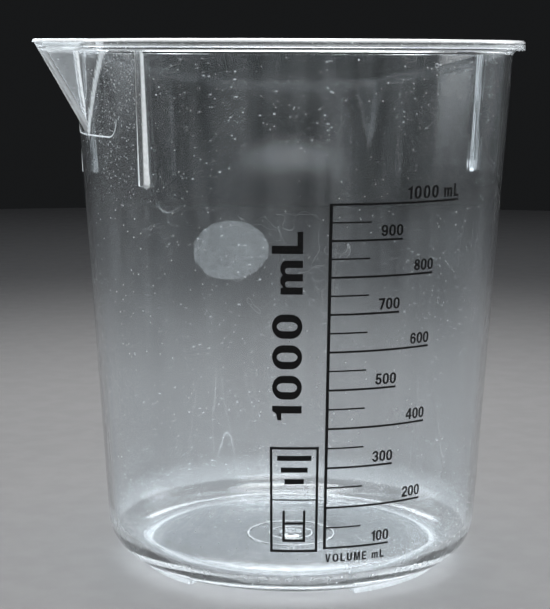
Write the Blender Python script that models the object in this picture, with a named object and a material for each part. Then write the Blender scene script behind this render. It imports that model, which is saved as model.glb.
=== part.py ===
"""A one-litre low-form beaker in clear moulded plastic, with the print on its wall.

The beaker stands on z = 0 and pours towards -X. The origin is under the middle of its bounding box, so the
round wall is centred on x = AXIS_X. The body is one moulding. The print is laid out flat on the developed wall
and wrapped round it: x runs to the right along the wall as seen from outside, and y is the height above z = 0.
"""

import math

import bmesh
import bpy
from mathutils import Matrix, Vector

# Driving dimensions of the body, in metres.
HEIGHT = 0.1510
MOUTH_RADIUS = 0.0611
TAPER = 0.0619  # growth of the radius for each metre of height
WALL = 0.0016
FLANGE_REACH = 0.0032
FLANGE_THICKNESS = 0.00285
FLANGE_CHAMFER = 0.0004
FLANGE_FILLET = 0.0010
CORNER_RADIUS = 0.012
INNER_CORNER_RADIUS = 0.010
FLOOR_TOP = 0.0047
FLOOR_THICKNESS = 0.0020
FLOOR_CROWN = 0.0004
HEEL = 0.00145
FOOT_INNER = 0.0420
FOOT_WIDTH = 0.0026
FOOT_DRAFT = 0.0003
FOOT_COUNT = 3
FOOT_SPAN = math.radians(58)
FOOT_END_SLANT = math.radians(1.6)
GATE_RING_RADII = (0.0128, 0.0064)
GATE_RING_WIDTH = 0.0008
GATE_RING_RISE = 0.0003
GATE_STUB_RADIUS = 0.0012

# The spout: two flat plates that meet in a crease and die into the wall.
SPOUT_REACH = 0.0765
SPOUT_DROP = 0.0261
SPOUT_ROOT = 0.0613
SPOUT_HALF_ANGLE = math.radians(15.2)
SPOUT_WALL = 0.0009

# The stacking ribs, under the flange.
RIB_WIDTH = 0.0027
RIB_BOTTOM = 0.1123
RIB_BOTTOM_RADIUS = 0.0621
RIB_TOP_RADIUS = 0.0632
RIB_OFFSET = math.radians(28.2)
RIB_BEVEL = 0.0005

# The print.
MARK_1000_HEIGHT = 0.1092
PRINT_RADIUS = 0.059  # the radius at which x along the wall is measured
INK_GAP = 0.0003
INK_THICKNESS = 0.0002
INK_SLICE = 0.004  # longest flat stretch of ink round the wall
SPINE_X = -0.0130
SPINE_WIDTH = 0.00085
LINE_THICKNESS = 0.00055
SHORT_LINE_THICKNESS = 0.00042
LINE_END_TOP = 0.0256
LINE_END_LONG = 0.0173
LINE_END_MIDDLE = 0.0069
LINE_END_SHORT = -0.0023
NUMERAL_HEIGHT = 0.0030
NUMERAL_LIFT = 0.0009
NUMERAL_SPACE = 0.0003
TOP_NUMERAL_HEIGHT = 0.0034
TOP_NUMERAL_SPACE = 0.0007
CAPACITY_HEIGHT = 0.0080
CAPACITY_STRETCH = 1.25  # how much wider its characters are than the numerals'
CAPACITY_SPACE = 0.00175
CAPACITY_CENTRE = (-0.0240, 0.0773)
LEGEND_HEIGHT = 0.0023
LEGEND_SPACE = 0.0006
LEGEND_START = (-0.0127, 0.0128)
PANEL_LEFT, PANEL_RIGHT = -0.0287, -0.0151
PANEL_BOTTOM, PANEL_TOP = 0.0158, 0.0450
PANEL_LINE = 0.0007
PATCH_WIDTH = 0.0267
PATCH_HEIGHT = 0.0192
PATCH_CENTRE = (-0.0014, 0.0838)
PATCH_SIDES = 28

SEGMENTS = 72
ARC_STEPS = 7
GLYPH_STEP = 36  # degrees between the points of a round stroke

# Worked out from the driving dimensions.
OUTER_TOP = MOUTH_RADIUS + WALL
AXIS_X = (SPOUT_REACH - OUTER_TOP - FLANGE_REACH) / 2
SPOUT_DIRECTION = math.pi
FRONT = -math.pi / 2  # the printed side
BACK = math.pi / 2


def outer_radius(height):
    return OUTER_TOP - TAPER * (HEIGHT - height)


def inner_radius(height):
    return outer_radius(height) - WALL


def around(angle, radius, height):
    """The point at this direction and distance from the beaker's own axis."""
    return Vector((AXIS_X + radius * math.cos(angle), radius * math.sin(angle), height))


def clear_scene():
    for obj in list(bpy.data.objects):
        bpy.data.objects.remove(obj, do_unlink=True)


def material(name, colour, roughness, transmission=0.0, alpha=1.0):
    mat = bpy.data.materials.new(name)
    mat.use_nodes = True
    shader = mat.node_tree.nodes["Principled BSDF"]
    shader.inputs["Base Color"].default_value = (*colour, 1.0)
    shader.inputs["Roughness"].default_value = roughness
    shader.inputs["Metallic"].default_value = 0.0
    shader.inputs["Transmission Weight"].default_value = transmission
    shader.inputs["Alpha"].default_value = alpha
    return mat


def add_object(name, bm, mat=None):
    mesh = bpy.data.meshes.new(name)
    bm.to_mesh(mesh)
    bm.free()
    obj = bpy.data.objects.new(name, mesh)
    bpy.context.scene.collection.objects.link(obj)
    if mat:
        mesh.materials.append(mat)
    return obj


def make_helper(obj):
    obj.hide_render = True
    obj.display_type = "WIRE"
    return obj


def combine(target, tool, operation):
    modifier = target.modifiers.new(f"{operation.lower()}_{tool.name}", "BOOLEAN")
    modifier.operation = operation
    modifier.object = tool


def turned(name, profile, mat=None):
    """A solid of revolution about the beaker's axis, from a profile of (radius, height) points that runs down
    from the axis to the axis again."""
    bm = bmesh.new()
    rings = []
    for radius, height in profile:
        if radius == 0:
            rings.append([bm.verts.new(around(0, 0, height))] * SEGMENTS)
            continue
        turn = math.tau / SEGMENTS
        rings.append([bm.verts.new(around(step * turn, radius, height)) for step in range(SEGMENTS)])
    for upper, lower in zip(rings, rings[1:]):
        for step in range(SEGMENTS):
            after = (step + 1) % SEGMENTS
            corners = [upper[step], upper[after], lower[after], lower[step]]
            bm.faces.new(list(dict.fromkeys(corners)))
    bmesh.ops.recalc_face_normals(bm, faces=bm.faces)
    return add_object(name, bm, mat)


def hexahedron(name, corners):
    """A solid with six faces, from the four corners of its lower end and then the four above them."""
    bm = bmesh.new()
    verts = [bm.verts.new(corner) for corner in corners]
    bm.faces.new(verts[:4])
    bm.faces.new(verts[4:])
    for step in range(4):
        after = (step + 1) % 4
        bm.faces.new([verts[step], verts[after], verts[4 + after], verts[4 + step]])
    bmesh.ops.recalc_face_normals(bm, faces=bm.faces)
    return add_object(name, bm)


def arc(centre, radius, start, end):
    """Points of an arc in the (radius, height) plane."""
    for step in range(ARC_STEPS + 1):
        angle = start + (end - start) * step / ARC_STEPS
        yield (centre[0] + radius * math.cos(angle), centre[1] + radius * math.sin(angle))


def corner_arc(wall_radius, floor, radius):
    """The rounding between the tapered wall and a level floor, from the wall down to the floor."""
    lean = math.atan(TAPER)
    height = floor + radius
    centre = (wall_radius(height) - radius / math.cos(lean), height)
    return list(arc(centre, radius, -lean, -math.pi / 2))


def outer_profile():
    under_flange = HEIGHT - FLANGE_THICKNESS
    flange = OUTER_TOP + FLANGE_REACH
    fillet_centre = (outer_radius(under_flange) + FLANGE_FILLET, under_flange - FLANGE_FILLET)
    recess = FLOOR_TOP - FLOOR_THICKNESS
    return [
        (0, HEIGHT),
        (flange - FLANGE_CHAMFER, HEIGHT),
        (flange, HEIGHT - FLANGE_CHAMFER),
        (flange, under_flange + FLANGE_CHAMFER),
        (flange - FLANGE_CHAMFER, under_flange),
        *list(arc(fillet_centre, FLANGE_FILLET, math.pi / 2, math.pi))[:: ARC_STEPS // 2],
        *corner_arc(outer_radius, HEEL, CORNER_RADIUS),
        (FOOT_INNER, HEEL),
        (FOOT_INNER - FOOT_DRAFT, recess),
        (0, recess + FLOOR_CROWN),
    ]


def floor_height(radius):
    """The floor rises slightly towards its middle."""
    flat_radius = inner_radius(FLOOR_TOP + INNER_CORNER_RADIUS) - INNER_CORNER_RADIUS
    return FLOOR_TOP + FLOOR_CROWN * (1 - radius / flat_radius)


def cavity_profile():
    above = HEIGHT + FLANGE_THICKNESS
    points = [(0, above), (inner_radius(above), above)]
    points += corner_arc(inner_radius, FLOOR_TOP, INNER_CORNER_RADIUS)
    for radius in GATE_RING_RADII:
        for offset, rise in ((0.5, 0), (0.25, 1), (-0.25, 1), (-0.5, 0)):
            ring_radius = radius + offset * GATE_RING_WIDTH
            points.append((ring_radius, floor_height(ring_radius) + rise * GATE_RING_RISE))
    points.append((GATE_STUB_RADIUS, floor_height(GATE_STUB_RADIUS)))
    points.append((0, floor_height(0) + GATE_RING_RISE))
    return points


def spout_wedge(name, inset, overshoot):
    """The space between the spout's two plates, back to the middle of the wall. An inset moves both plates
    inwards by that thickness, and an overshoot extends the wedge above the rim."""
    tip = around(SPOUT_DIRECTION, SPOUT_REACH, HEIGHT)
    root = around(SPOUT_DIRECTION, SPOUT_ROOT, HEIGHT - SPOUT_DROP)
    sides = [around(SPOUT_DIRECTION + turn * SPOUT_HALF_ANGLE, OUTER_TOP, HEIGHT) for turn in (1, -1)]
    plate_normal = (sides[0] - tip).cross(root - tip).normalized()
    shift = Vector((inset / abs(plate_normal.x), 0, 0))
    deep = 1.12
    apex = tip + (root - tip) * deep
    top = [tip] + [tip + (side - tip) * deep for side in sides]
    stretch = 1 + overshoot / (HEIGHT - apex.z)
    top = [apex + (point - apex) * stretch + shift for point in top]
    bm = bmesh.new()
    foot = bm.verts.new(apex + shift)
    rim = [bm.verts.new(point) for point in top]
    bm.faces.new(rim)
    for first, second in ((0, 1), (1, 2), (2, 0)):
        bm.faces.new([rim[first], rim[second], foot])
    bmesh.ops.recalc_face_normals(bm, faces=bm.faces)
    return make_helper(add_object(name, bm))


def rib(name, direction):
    """A stacking rib: a narrow pad that runs up the wall into the flange, with softened lower corners."""
    top = HEIGHT - FLANGE_THICKNESS / 2
    half = RIB_WIDTH / 2
    outward = Vector((math.cos(direction), math.sin(direction), 0))
    sideways = Vector((-outward.y, outward.x, 0))
    axis = Vector((AXIS_X, 0, 0))
    corners = []
    for height, face in ((RIB_BOTTOM, RIB_BOTTOM_RADIUS), (top, RIB_TOP_RADIUS)):
        buried = outer_radius(height) - WALL / 2
        for radius, side in ((buried, -half), (face, -half), (face, half), (buried, half)):
            corners.append(axis + outward * radius + sideways * side + Vector((0, 0, height)))
    obj = hexahedron(name, corners)
    bevel = obj.modifiers.new("softened_corners", "BEVEL")
    bevel.width = RIB_BEVEL
    bevel.segments = 2
    return make_helper(obj)


def foot_segment(name, middle):
    """One segment of the foot ring. Its sides have draft and its ends slant inwards towards the bench."""
    steps = SEGMENTS // 9
    top = HEEL + FOOT_DRAFT
    bm = bmesh.new()
    stations = []
    for step in range(steps + 1):
        share = 2 * step / steps - 1
        station = []
        for height, draft, half_span in ((0, 0, FOOT_SPAN / 2), (top, FOOT_DRAFT, FOOT_SPAN / 2 + FOOT_END_SLANT)):
            angle = middle + share * half_span
            inner = FOOT_INNER + FOOT_DRAFT - draft
            outer = FOOT_INNER + FOOT_WIDTH + draft
            station.append([bm.verts.new(around(angle, radius, height)) for radius in (inner, outer)])
        (low_in, low_out), (high_in, high_out) = station
        stations.append([low_in, low_out, high_out, high_in])
    for before, after in zip(stations, stations[1:]):
        for edge in range(4):
            following = (edge + 1) % 4
            bm.faces.new([before[edge], before[following], after[following], after[edge]])
    bm.faces.new(stations[0])
    bm.faces.new(stations[-1])
    bmesh.ops.recalc_face_normals(bm, faces=bm.faces)
    return make_helper(add_object(name, bm))


def make_body():
    plastic = material("clear_plastic", (0.82, 0.86, 0.87), 0.08, transmission=1.0)
    body = turned("beaker_body", outer_profile(), plastic)
    combine(body, spout_wedge("spout_outside", 0, 0), "UNION")
    opposite = SPOUT_DIRECTION + math.pi
    rib_directions = (SPOUT_DIRECTION + RIB_OFFSET, SPOUT_DIRECTION - RIB_OFFSET, opposite)
    for count, direction in enumerate(rib_directions, 1):
        combine(body, rib(f"rib_{count}", direction), "UNION")
    for count in range(FOOT_COUNT):
        middle = SPOUT_DIRECTION + count * math.tau / FOOT_COUNT
        combine(body, foot_segment(f"foot_{count + 1}", middle), "UNION")
    combine(body, make_helper(turned("cavity", cavity_profile())), "DIFFERENCE")
    combine(body, spout_wedge("spout_inside", SPOUT_WALL, FLANGE_THICKNESS), "DIFFERENCE")
    body.data.shade_smooth()
    body.data.set_sharp_from_angle(angle=math.radians(25))
    return body


def wrap(x, y, depth, side):
    """The point of the print at x along the wall and y up it, on the side of the beaker that it faces."""
    return around(side + x / PRINT_RADIUS, outer_radius(y) + depth, y)


def slice_upright(bm):
    """Cuts a flat layout into upright strips, so that it can follow the wall's curve."""
    xs = [vert.co.x for vert in bm.verts]
    left, right = min(xs), max(xs)
    count = math.ceil((right - left) / INK_SLICE)
    for cut in range(1, count):
        place = left + (right - left) * cut / count
        geometry = bm.verts[:] + bm.edges[:] + bm.faces[:]
        bmesh.ops.bisect_plane(bm, geom=geometry, plane_co=(place, 0, 0), plane_no=(1, 0, 0))


def ink(name, bm, mat, side=FRONT):
    """Wraps a flat layout round the wall as a thin closed solid."""
    slice_upright(bm)
    bm.normal_update()
    bmesh.ops.reverse_faces(bm, faces=[face for face in bm.faces if face.normal.z < 0])
    raised = bmesh.ops.extrude_face_region(bm, geom=bm.faces[:])["geom"]
    raised_verts = {item for item in raised if isinstance(item, bmesh.types.BMVert)}
    for vert in bm.verts:
        depth = INK_GAP + (INK_THICKNESS if vert in raised_verts else 0)
        vert.co = wrap(vert.co.x, vert.co.y, depth, side)
    return add_object(name, bm, mat)


def grid_layout(columns, rows, is_filled):
    """A flat layout of the cells between these x and y values for which is_filled(x, y) holds at the middle."""
    bm = bmesh.new()
    corners = {}

    def corner(x, y):
        if (x, y) not in corners:
            corners[x, y] = bm.verts.new((x, y, 0))
        return corners[x, y]

    for left, right in zip(columns, columns[1:]):
        for low, high in zip(rows, rows[1:]):
            if is_filled((left + right) / 2, (low + high) / 2):
                bm.faces.new([corner(left, low), corner(right, low), corner(right, high), corner(left, high)])
    return bm


def mark_height(millilitres):
    """The height of a volume mark, from the volume of the tapered inside between it and the top mark."""
    below = (1000 - millilitres) * 1e-6
    top_radius = inner_radius(MARK_1000_HEIGHT)
    radius = (top_radius**3 - 3 * TAPER * below / math.pi) ** (1 / 3)
    return MARK_1000_HEIGHT - (top_radius - radius) / TAPER


def line_end(millilitres):
    if millilitres == 1000:
        return LINE_END_TOP
    if millilitres % 200 == 0:
        return LINE_END_LONG
    if millilitres % 100 == 0:
        return LINE_END_MIDDLE
    return LINE_END_SHORT


def make_scale(mat):
    """The spine and its lines from 100 to 1000, which are one connected print."""
    spine = (SPINE_X - SPINE_WIDTH / 2, SPINE_X + SPINE_WIDTH / 2)
    lines = []
    for volume in range(100, 1001, 50):
        thickness = LINE_THICKNESS if volume % 100 == 0 else SHORT_LINE_THICKNESS
        middle = mark_height(volume)
        lines.append((middle - thickness / 2, middle + thickness / 2, line_end(volume)))
    rows = sorted([low for low, high, end in lines] + [high for low, high, end in lines])
    columns = sorted({*spine, *(end for low, high, end in lines)})

    def is_filled(x, y):
        return x < spine[1] or any(low < y < high and x < end for low, high, end in lines)

    return ink("graduation_scale", grid_layout(columns, rows, is_filled), mat)


def bow(centre, radii, start, end):
    """Points along an elliptical arc between two angles in degrees."""
    steps = max(2, round(abs(end - start) / GLYPH_STEP))
    points = []
    for step in range(steps + 1):
        angle = math.radians(start + (end - start) * step / steps)
        points.append((centre[0] + radii[0] * math.cos(angle), centre[1] + radii[1] * math.sin(angle)))
    return points


def ring_outline(width, stroke):
    """The outlines of a zero or a letter O: a round-ended band."""
    half = width / 2
    outer = bow((half, 0.64), (half, 0.36), 0, 180) + bow((half, 0.36), (half, 0.36), 180, 360)
    inner_radii = (half - stroke, 0.2)
    inner = bow((half, 0.64), inner_radii, 0, 180) + bow((half, 0.36), inner_radii, 180, 360)
    return [outer, inner]


def outline_six():
    outer = bow((0.32, 0.64), (0.32, 0.36), 180, 12)
    outer += bow((0.32, 0.66), (0.12, 0.18), 15, 165)
    outer += bow((0.33, 0.33), (0.31, 0.33), 116, -180)
    return [outer, bow((0.325, 0.33), (0.12, 0.17), 0, 360)[:-1]]


def outline_eight():
    outer = bow((0.32, 0.29), (0.32, 0.29), 128, 412)
    outer += bow((0.32, 0.74), (0.29, 0.26), -52, 232)
    lower = bow((0.32, 0.28), (0.125, 0.13), 0, 360)[:-1]
    upper = bow((0.32, 0.75), (0.1, 0.105), 0, 360)[:-1]
    return [outer, lower, upper]


def outline_three():
    outer = bow((0.31, 0.72), (0.3, 0.28), 178, -42) + bow((0.31, 0.29), (0.32, 0.29), 42, -180)
    outer += bow((0.31, 0.3), (0.12, 0.14), -178, 90) + [(0.23, 0.44), (0.23, 0.58)]
    outer += bow((0.31, 0.71), (0.105, 0.13), -90, 178)
    return [outer]


def outline_two():
    outer = [(0, 0), (0.63, 0), (0.63, 0.18), (0.28, 0.18)]
    outer += bow((0.315, 0.69), (0.315, 0.31), -38, 180) + bow((0.315, 0.69), (0.115, 0.15), 180, -36)
    return [outer + [(0, 0.2)]]


def outline_five():
    outer = [(0.05, 0.46), (0.1, 1), (0.59, 1), (0.59, 0.83), (0.25, 0.83), (0.235, 0.64)]
    outer += bow((0.315, 0.33), (0.325, 0.33), 96, -176) + bow((0.315, 0.33), (0.125, 0.17), -172, 152)
    return [outer]


def outline_small_m():
    outer = [(0, 0), (0, 0.72), (0.18, 0.72), (0.18, 0.64)]
    outer += bow((0.36, 0.53), (0.19, 0.2), 140, 35) + bow((0.68, 0.53), (0.21, 0.2), 140, 0)
    outer += [(0.89, 0), (0.7, 0)] + bow((0.62, 0.48), (0.08, 0.09), 0, 180)
    outer += [(0.54, 0), (0.35, 0)] + bow((0.27, 0.48), (0.08, 0.09), 0, 180)
    return [outer + [(0.19, 0)]]


def outline_u():
    inner = bow((0.34, 0.35), (0.13, 0.18), 180, 360)
    outer = bow((0.34, 0.34), (0.34, 0.34), 0, -180)
    return [[(0, 1), (0.21, 1)] + inner + [(0.47, 1), (0.68, 1)] + outer]


def straight_outlines():
    """The characters that have only straight sides."""
    one = [(0.19, 0), (0.39, 0), (0.39, 1), (0.25, 1), (0.18, 0.87), (0, 0.82), (0, 0.69), (0.19, 0.69)]
    four = [(0.37, 0), (0.56, 0), (0.56, 0.22), (0.66, 0.22), (0.66, 0.38), (0.56, 0.38)]
    four += [(0.56, 1), (0.36, 1), (0, 0.4), (0, 0.22), (0.37, 0.22)]
    letter_e = [(0, 0), (0.58, 0), (0.58, 0.17), (0.21, 0.17), (0.21, 0.42), (0.54, 0.42)]
    letter_e += [(0.54, 0.58), (0.21, 0.58), (0.21, 0.83), (0.57, 0.83), (0.57, 1), (0, 1)]
    letter_m = [(0, 0), (0, 1), (0.28, 1), (0.42, 0.34), (0.56, 1), (0.84, 1), (0.84, 0)]
    letter_m += [(0.65, 0), (0.65, 0.68), (0.51, 0), (0.33, 0), (0.19, 0.68), (0.19, 0)]
    return {
        "1": [one],
        "4": [four, [(0.37, 0.38), (0.37, 0.74), (0.16, 0.38)]],
        "7": [[(0, 1), (0.6, 1), (0.6, 0.86), (0.34, 0), (0.12, 0), (0.38, 0.82), (0, 0.82)]],
        "E": [letter_e],
        "L": [[(0, 0), (0.58, 0), (0.58, 0.18), (0.21, 0.18), (0.21, 1), (0, 1)]],
        "M": [letter_m],
        "V": [[(0.24, 0), (0.46, 0), (0.7, 1), (0.49, 1), (0.35, 0.26), (0.21, 1), (0, 1)]],
    }


def make_outlines():
    """The closed outlines of each character, with its capitals and numerals one unit high."""
    outlines = straight_outlines()
    outlines["0"] = ring_outline(0.64, 0.2)
    outlines["O"] = ring_outline(0.78, 0.22)
    outlines["2"] = outline_two()
    outlines["3"] = outline_three()
    outlines["5"] = outline_five()
    outlines["6"] = outline_six()
    outlines["8"] = outline_eight()
    outlines["9"] = [[(0.64 - x, 1 - y) for x, y in outline] for outline in outlines["6"]]
    outlines["m"] = outline_small_m()
    outlines["U"] = outline_u()
    return outlines


OUTLINES = make_outlines()


def glyph_width(character):
    return max(x for x, y in OUTLINES[character][0])


def glyph_layout(character):
    """The flat filled shape of one character, one unit high."""
    bm = bmesh.new()
    for outline in OUTLINES[character]:
        verts = [bm.verts.new((x, y, 0)) for x, y in outline]
        for first, second in zip(verts, verts[1:] + verts[:1]):
            bm.edges.new((first, second))
    bmesh.ops.triangle_fill(bm, use_beauty=True, edges=bm.edges)
    return bm


def text_steps(text, scale, space):
    """Each character of a line, with where it starts, and last the end of the line. scale is the size of one unit."""
    x = 0
    for character in text:
        if character == " ":
            x += 2 * space
            continue
        yield character, x
        x += glyph_width(character) * scale + space
    yield None, x - space


def text_width(text, scale, space):
    return list(text_steps(text, scale, space))[-1][1]


def make_text(prefix, text, height, space, place, mat, stretch=1):
    """Sets a line of characters, each its own solid. place turns and moves the flat layout to where it belongs."""
    scale = height * stretch
    for count, (character, x) in enumerate(list(text_steps(text, scale, space))[:-1], 1):
        glyph = glyph_layout(character)
        glyph.transform(place @ Matrix.Translation((x, 0, 0)) @ Matrix.Diagonal((scale, height, 1, 1)))
        ink(f"{prefix}_{count}", glyph, mat)


def make_numerals(mat):
    for volume in range(100, 1001, 100):
        at_top = volume == 1000
        text = f"{volume} mL" if at_top else str(volume)
        height = TOP_NUMERAL_HEIGHT if at_top else NUMERAL_HEIGHT
        space = TOP_NUMERAL_SPACE if at_top else NUMERAL_SPACE
        start = line_end(volume) - text_width(text, height, space)
        place = Matrix.Translation((start, mark_height(volume) + NUMERAL_LIFT, 0))
        make_text(f"numeral_{volume}_character", text, height, space, place, mat)


def make_capacity_mark(mat):
    """The capacity in large characters that read upwards."""
    text = "1000 mL"
    width = text_width(text, CAPACITY_HEIGHT * CAPACITY_STRETCH, CAPACITY_SPACE)
    x, y = CAPACITY_CENTRE
    start = Matrix.Translation((x + CAPACITY_HEIGHT / 2, y - width / 2, 0))
    place = start @ Matrix.Rotation(math.pi / 2, 4, "Z")
    make_text("capacity_mark_character", text, CAPACITY_HEIGHT, CAPACITY_SPACE, place, mat, CAPACITY_STRETCH)


def make_legend(mat):
    place = Matrix.Translation((*LEGEND_START, 0))
    make_text("legend_character", "VOLUME mL", LEGEND_HEIGHT, LEGEND_SPACE, place, mat)


def make_panel(mat):
    """A framed panel of two cells, with three level bars in the upper one and a small cup in the lower one."""
    middle = (PANEL_BOTTOM + PANEL_TOP) / 2
    line = PANEL_LINE
    columns = [PANEL_LEFT, PANEL_LEFT + line, PANEL_RIGHT - line, PANEL_RIGHT]
    rows = [PANEL_BOTTOM, PANEL_BOTTOM + line, middle - line / 4, middle + line / 4, PANEL_TOP - line, PANEL_TOP]

    def on_frame(x, y):
        in_cell = columns[1] < x < columns[2] and (rows[1] < y < rows[2] or rows[3] < y < rows[4])
        return not in_cell

    ink("symbol_frame", grid_layout(columns, rows, on_frame), mat)
    width = PANEL_RIGHT - PANEL_LEFT
    cell = middle - PANEL_BOTTOM
    for count, share in enumerate((0.4, 0.55, 0.7), 1):
        low = middle + cell * (0.08 + 0.22 * count)
        start = PANEL_LEFT + width * (1 - share) / 2
        bar = grid_layout([start, start + width * share], [low, low + 2 * line], lambda x, y: True)
        ink(f"symbol_bar_{count}", bar, mat)
    left = PANEL_LEFT + width * 0.26
    right = PANEL_RIGHT - width * 0.26
    low = PANEL_BOTTOM + cell * 0.2
    high = middle - cell * 0.2
    level = low + (high - low) * 0.55
    columns = [left, left + line, right - line, right]
    rows = [low, low + line, level, level + line, high]

    def on_cup(x, y):
        return not (columns[1] < x < columns[2] and (rows[1] < y < rows[2] or rows[3] < y))

    ink("symbol_cup", grid_layout(columns, rows, on_cup), mat)


def make_write_on_patch():
    """The oval matt patch on the side away from the print."""
    mat = material("matt_patch", (0.72, 0.74, 0.75), 0.9, alpha=0.5)
    bm = bmesh.new()
    bmesh.ops.create_circle(bm, cap_ends=True, segments=PATCH_SIDES, radius=0.5)
    shape = Matrix.Diagonal((PATCH_WIDTH, PATCH_HEIGHT, 1, 1))
    bm.transform(Matrix.Translation((*PATCH_CENTRE, 0)) @ shape)
    return ink("write_on_patch", bm, mat, side=BACK)


def main():
    clear_scene()
    make_body()
    black = material("black_ink", (0.015, 0.015, 0.016), 0.45)
    make_scale(black)
    make_numerals(black)
    make_capacity_mark(black)
    make_legend(black)
    make_panel(black)
    make_write_on_patch()


main()
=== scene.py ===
"""The beaker's finished look: a clear plastic moulding with a black print and a matt patch, on a floor with a
painted pool of light.

Lengths are in metres in the frame of the CAD model, which stands on z = 0 with its spout towards -X.
Directions round the beaker are angles about its own upright axis, which is at x = AXIS_X. A turn is an angle
from the spout's direction.
"""

import math

import bmesh
import bpy
from mathutils import Matrix, Vector


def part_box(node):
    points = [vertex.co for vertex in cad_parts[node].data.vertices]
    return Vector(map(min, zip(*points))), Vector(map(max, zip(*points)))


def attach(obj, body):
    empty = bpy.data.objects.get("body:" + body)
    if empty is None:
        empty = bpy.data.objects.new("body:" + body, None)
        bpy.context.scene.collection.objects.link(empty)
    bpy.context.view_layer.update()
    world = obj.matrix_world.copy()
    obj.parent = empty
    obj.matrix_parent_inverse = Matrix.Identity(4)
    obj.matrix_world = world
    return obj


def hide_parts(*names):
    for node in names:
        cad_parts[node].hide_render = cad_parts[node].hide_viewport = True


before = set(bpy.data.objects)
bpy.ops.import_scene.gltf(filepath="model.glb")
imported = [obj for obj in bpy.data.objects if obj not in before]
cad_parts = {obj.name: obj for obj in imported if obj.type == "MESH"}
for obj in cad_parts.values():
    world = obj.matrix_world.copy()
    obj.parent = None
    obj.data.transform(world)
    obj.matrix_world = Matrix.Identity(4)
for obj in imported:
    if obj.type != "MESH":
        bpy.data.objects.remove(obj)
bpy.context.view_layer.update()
LOW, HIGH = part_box("beaker_body")

# Sizes that the frame gives.
HEIGHT = HIGH.z
FLANGE_RADIUS = HIGH.y
AXIS_X = HIGH.x - FLANGE_RADIUS
SPOUT_REACH = AXIS_X - LOW.x

# The moulding's own sizes, as in the CAD model.
TAPER = 0.0619
WALL = 0.0016
FLANGE_REACH = 0.0032
FLANGE_THICKNESS = 0.00285
FLANGE_FILLET = 0.0010
CORNER_RADIUS = 0.012
INNER_CORNER_RADIUS = 0.010
FLOOR_TOP = 0.0047
FLOOR_THICKNESS = 0.0020
FLOOR_CROWN = 0.0004
HEEL = 0.00145
FOOT_INNER = 0.0420
FOOT_WIDTH = 0.0026
FOOT_DRAFT = 0.0003
FOOT_COUNT = 3
FOOT_SPAN = math.radians(58)
FOOT_END_SLANT = math.radians(1.6)
# Each gate ring's radius, half width and rise.
GATE_RINGS = ((0.0128, 0.0004, 0.0003), (0.0064, 0.0004, 0.0003), (0.0, 0.0012, 0.0004))
SPOUT_DROP = 0.0261
SPOUT_ROOT = 0.0613
SPOUT_HALF_ANGLE = math.radians(15.2)
SPOUT_WALL = 0.0009
RIB_WIDTH = 0.0027
RIB_BOTTOM = 0.1123
RIB_BOTTOM_RADIUS = 0.0621
RIB_TOP_RADIUS = 0.0632
RIB_OFFSET = math.radians(28.2)

OUTER_TOP = FLANGE_RADIUS - FLANGE_REACH
SPOUT_DIRECTION = math.pi
FRONT = -math.pi / 2
BACK = math.pi / 2
RIB_DIRECTIONS = (SPOUT_DIRECTION - RIB_OFFSET, SPOUT_DIRECTION + RIB_OFFSET, SPOUT_DIRECTION + math.pi)

# Rounded edges and small features that only this finer mesh has.
RIM_ROUNDING = 0.0009
CREASE_SOFTNESS = 0.003  # as a share of the radius
SPOUT_BLEND = 0.00022
SPOUT_LIMIT = math.radians(40)
RIB_CORNER = 0.0009
RIB_EDGE = 0.0003
FOOT_EDGE = math.radians(0.12)
FOOT_ROUNDING = 0.00012
GROOVE_TOP = 0.0017  # below the rim, as is GROOVE_BOTTOM
GROOVE_BOTTOM = 0.0022
GROOVE_DEPTH = 0.00018
GROOVE_SLOPE = 0.0001

# The thin raised line that the spout's insert left: along a level below the spout, then curving up.
WITNESS_HEIGHT = 0.1249
WITNESS_RISE = 0.0050
WITNESS_LEVEL_END = math.radians(13.9)
WITNESS_END = math.radians(18.0)
WITNESS_THICKNESS = 0.00017
WITNESS_FLATNESS = 0.8
WITNESS_SINK = 0.00003
WITNESS_LEVEL_STEPS = 20
WITNESS_CURVE_STEPS = 12
WITNESS_CORNERS = 7

# How matt the moulding is in its different places, from 0 to 1, and how wide those places are.
RIM_FROST = 0.8
GROOVE_FROST = 0.5
RIB_FROST = 1.0
RIB_FACE_FROST = 0.15
HEEL_FROST = 0.25
FOOT_FROST = 0.2
RECESS_FROST = 0.35
GATE_FROST = 0.6
SPOUT_FROST = 0.9
PLATE_FROST = 0.12
WITNESS_FROST = 0.5
RIB_FROST_WIDTH = 0.00045
RIB_FROST_SPILL = 0.0002
RECESS_FROST_WIDTH = 0.0006
FLANGE_FROST_WIDTH = 0.0003
FOLD_WIDTH = 0.0011
CREASE_WIDTH = 0.0022
ON_SURFACE = 0.0001  # a point this near to a surface counts as on it
OFF_WALL = 0.0004  # a point this far from the wall counts as off it

# How finely the moulding's mesh is divided.
INNER_CORNER_STEPS = 14
CORNER_STEPS = 18
RIM_STEPS = 6
FILLET_STEPS = 5
LOW_WALL_RINGS = 22
SPOUT_RINGS = 24
RIB_RINGS = 28
FLOOR_RING_RADII = (0.018, 0.024, 0.030, 0.036)
RECESS_RING_RADII = (0.036, 0.026, 0.014, 0.0)
GATE_RING_SHARES = (-1, -0.7, -0.4, 0, 0.4, 0.7, 1)
RIB_END_RISES = (0.0011, 0.0008, 0.0006, 0.00045, 0.0003, 0.0002, 0.0001, 0, -0.00015, -0.0004)
RIB_SHARES = (0, 0.4, 0.6, 0.7, 0.85, 0.93, 0.98, 1.02, 1.07, 1.2)
FOOT_END_SHARES = (-0.3, 0, 0.15, 0.5, 1, 1.2)
SPOUT_COLUMNS = 70
SPOUT_COLUMNS_TO = math.radians(20)
PLAIN_COLUMNS = 300
COLUMN_SPACE = math.radians(0.5)
LEAST_COLUMN_SPACE = math.radians(0.03)

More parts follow.
